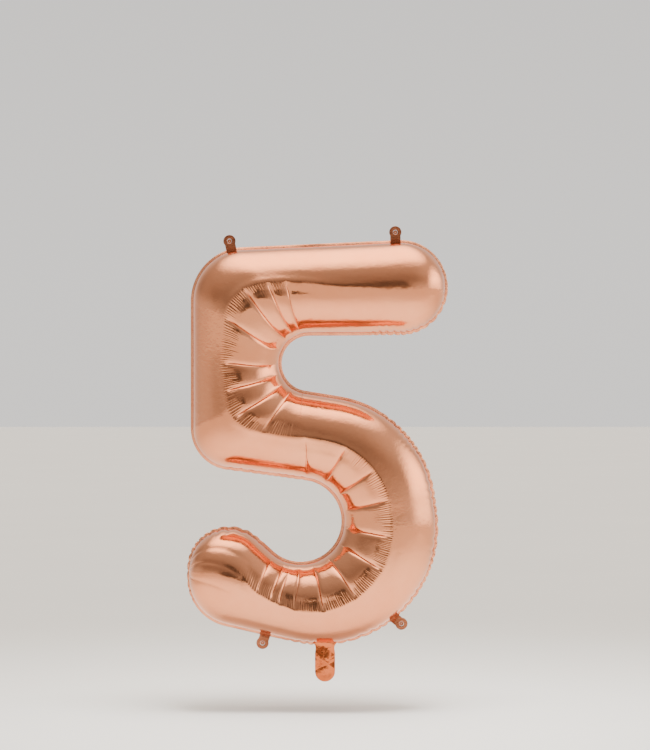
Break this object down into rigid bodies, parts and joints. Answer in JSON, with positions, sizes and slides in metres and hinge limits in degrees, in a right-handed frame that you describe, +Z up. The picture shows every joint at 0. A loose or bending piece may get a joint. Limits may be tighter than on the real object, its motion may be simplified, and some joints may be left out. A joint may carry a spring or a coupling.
{
  "type": "foil number balloon",
  "caption": "Inflated foil balloon shaped as the figure five, with hanging tabs round its seam and a filling tail with a self-sealing valve.",
  "frame": {"origin": "the neck: the middle of the line where the tail leaves the seam's foot, in the plane of the seam", "axes": "+Z up along the figure's height, +X to the figure's right as it is read, -Y towards the reader"},
  "size_m": [0.5539, 0.191, 0.9671],
  "materials": {
    "panel_foil": "metallised rose-gold film, mirror-like",
    "seam_foil": "heat-sealed rose-gold film, crimped",
    "tail_foil": "wrinkled rose-gold film",
    "tab_foil": "heat-sealed rose-gold film",
    "clear_film": "clear film",
    "release_print": "white heat-resistant print"
  },
  "bodies": {
    "root": {"front_panel": "panel_foil", "back_panel": "panel_foil", "perimeter_seam": "seam_foil", "valve_front_film": "clear_film", "valve_back_film": "clear_film", "valve_edge_welds": "clear_film", "valve_release_print": "release_print"},
    "tail": {"tail_front_leaf": "tail_foil", "tail_back_leaf": "tail_foil", "tail_edge_welds": "tail_foil", "tail_inlet_front_film": "clear_film", "tail_inlet_back_film": "clear_film"},
    "tab_top_left": {"hang_tab_top_left": "tab_foil"},
    "tab_top_right": {"hang_tab_top_right": "tab_foil"},
    "tab_bottom_left": {"hang_tab_bottom_left": "tab_foil"},
    "tab_bottom_right": {"hang_tab_bottom_right": "tab_foil"}
  },
  "joints": [
    {"name": "tail_fold", "type": "hinge", "parent": "root", "child": "tail", "pos_m": [0, 0, -0.00015], "axis": [-1, 0, 0], "range_deg": [-100, 100], "stiffness_Nm_per_rad": 0.0002},
    {"name": "tab_top_left_fold", "type": "hinge", "parent": "root", "child": "tab_top_left", "pos_m": [-0.19976, 0, 0.84632], "axis": [0.978, 0, 0.2085], "range_deg": [-100, 100], "stiffness_Nm_per_rad": 0.0001},
    {"name": "tab_top_right_fold", "type": "hinge", "parent": "root", "child": "tab_top_right", "pos_m": [0.14952, 0, 0.86478], "axis": [0.9998, 0, 0.0175], "range_deg": [-100, 100], "stiffness_Nm_per_rad": 0.0001},
    {"name": "tab_bottom_left_fold", "type": "hinge", "parent": "root", "child": "tab_bottom_left", "pos_m": [-0.12823, 0, 0.02086], "axis": [-0.9511, 0, 0.3088], "range_deg": [-100, 100], "stiffness_Nm_per_rad": 0.0001},
    {"name": "tab_bottom_right_fold", "type": "hinge", "parent": "root", "child": "tab_bottom_right", "pos_m": [0.15127, 0, 0.05736], "axis": [-0.6419, 0, -0.7668], "range_deg": [-100, 100], "stiffness_Nm_per_rad": 0.0001}
  ]
}
